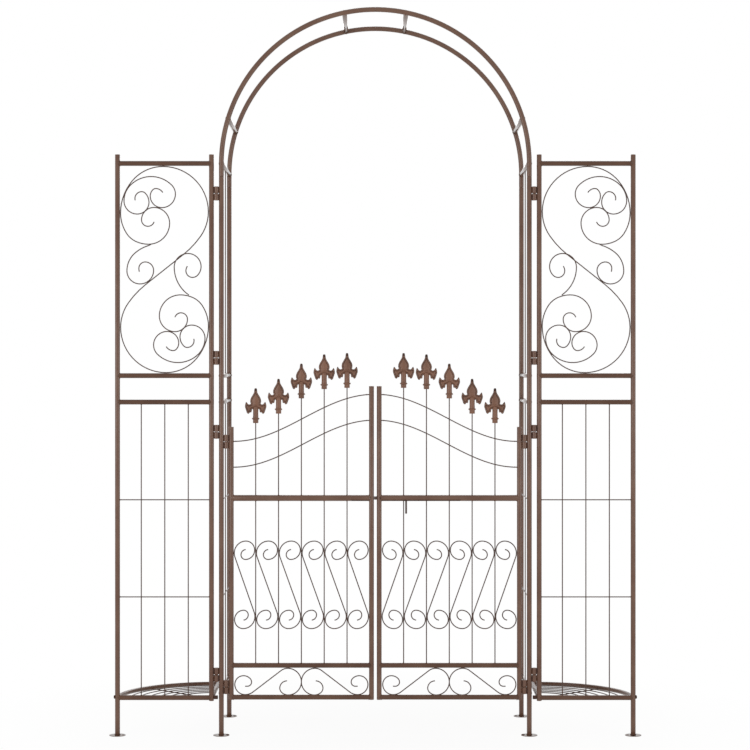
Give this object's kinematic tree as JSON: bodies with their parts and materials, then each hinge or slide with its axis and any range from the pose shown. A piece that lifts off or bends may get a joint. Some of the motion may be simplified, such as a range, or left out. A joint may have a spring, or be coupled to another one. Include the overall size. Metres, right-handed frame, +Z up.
{
  "type": "garden arch with gate",
  "caption": "Half-round tubular garden arch with a pair of low scrollwork gates, spear finials, a sliding bolt and hinged trellis wings with corner plant shelves.",
  "frame": {"origin": "on the ground, in the middle of the arch", "axes": "+Z up, -Y towards the side on which the gates and wings hang, +X to the right when seen from there"},
  "size_m": [1.6124, 0.405, 2.207],
  "materials": {
    "tube_coat": "glossy brown powder coat",
    "wire_coat": "glossy brown powder coat on wire",
    "casting_coat": "brown powder coat on castings",
    "latch_coat": "dark worn brown coat"
  },
  "bodies": {
    "arch": {"left_front_post": "tube_coat", "left_back_post": "tube_coat", "left_front_foot": "tube_coat", "left_back_foot": "tube_coat", "left_front_hoop": "tube_coat", "left_back_hoop": "tube_coat", "left_crown_rung": "tube_coat", "left_shoulder_rung": "tube_coat", "left_upper_side_panel": "tube_coat", "left_lower_side_panel": "tube_coat", "right_front_post": "tube_coat", "right_back_post": "tube_coat", "right_front_foot": "tube_coat", "right_back_foot": "tube_coat", "right_front_hoop": "tube_coat", "right_back_hoop": "tube_coat", "right_crown_rung": "tube_coat", "right_shoulder_rung": "tube_coat", "right_upper_side_panel": "tube_coat", "right_lower_side_panel": "tube_coat"},
    "left_wing": {"left_wing_outer_post": "tube_coat", "left_wing_inner_post": "tube_coat", "left_wing_top_rail": "tube_coat", "left_wing_band_rail": "tube_coat", "left_wing_trellis": "tube_coat", "left_wing_scrollwork": "wire_coat", "left_wing_shelf": "tube_coat", "left_wing_foot": "tube_coat"},
    "right_wing": {"right_wing_outer_post": "tube_coat", "right_wing_inner_post": "tube_coat", "right_wing_top_rail": "tube_coat", "right_wing_band_rail": "tube_coat", "right_wing_trellis": "tube_coat", "right_wing_scrollwork": "wire_coat", "right_wing_shelf": "tube_coat", "right_wing_foot": "tube_coat"},
    "left_gate": {"left_gate_hinge_stile": "tube_coat", "left_gate_meeting_stile": "tube_coat", "left_gate_mid_rail": "tube_coat", "left_gate_picket_panel": "wire_coat", "left_gate_scroll_panel": "wire_coat", "left_gate_bottom_panel": "wire_coat", "left_finial_1": "casting_coat", "left_finial_2": "casting_coat", "left_finial_3": "casting_coat", "left_finial_4": "casting_coat", "left_finial_5": "casting_coat"},
    "right_gate": {"right_gate_hinge_stile": "tube_coat", "right_gate_meeting_stile": "tube_coat", "right_gate_mid_rail": "tube_coat", "right_gate_picket_panel": "wire_coat", "right_gate_scroll_panel": "wire_coat", "right_gate_bottom_panel": "wire_coat", "right_finial_1": "casting_coat", "right_finial_2": "casting_coat", "right_finial_3": "casting_coat", "right_finial_4": "casting_coat", "right_finial_5": "casting_coat"},
    "latch": {"latch_bolt": "latch_coat", "latch_handle": "latch_coat"}
  },
  "joints": [
    {"name": "left_wing_hinge", "type": "hinge", "parent": "arch", "child": "left_wing", "pos_m": [-0.4815, -0.1775, 0.92], "axis": [0, 0, 1], "range_deg": [0, 90]},
    {"name": "right_wing_hinge", "type": "hinge", "parent": "arch", "child": "right_wing", "pos_m": [0.4815, -0.1775, 0.92], "axis": [0, 0, -1], "range_deg": [0, 90]},
    {"name": "left_gate_hinge", "type": "hinge", "parent": "arch", "child": "left_gate", "pos_m": [-0.4515, -0.1775, 0.52], "axis": [0, 0, -1], "range_deg": [-85, 90]},
    {"name": "right_gate_hinge", "type": "hinge", "parent": "arch", "child": "right_gate", "pos_m": [0.4515, -0.1775, 0.52], "axis": [0, 0, 1], "range_deg": [-85, 90]},
    {"name": "bolt_slide", "type": "slide", "parent": "right_gate", "child": "latch", "axis": [1, 0, 0], "range_m": [-0.03, 0.012]}
  ]
}
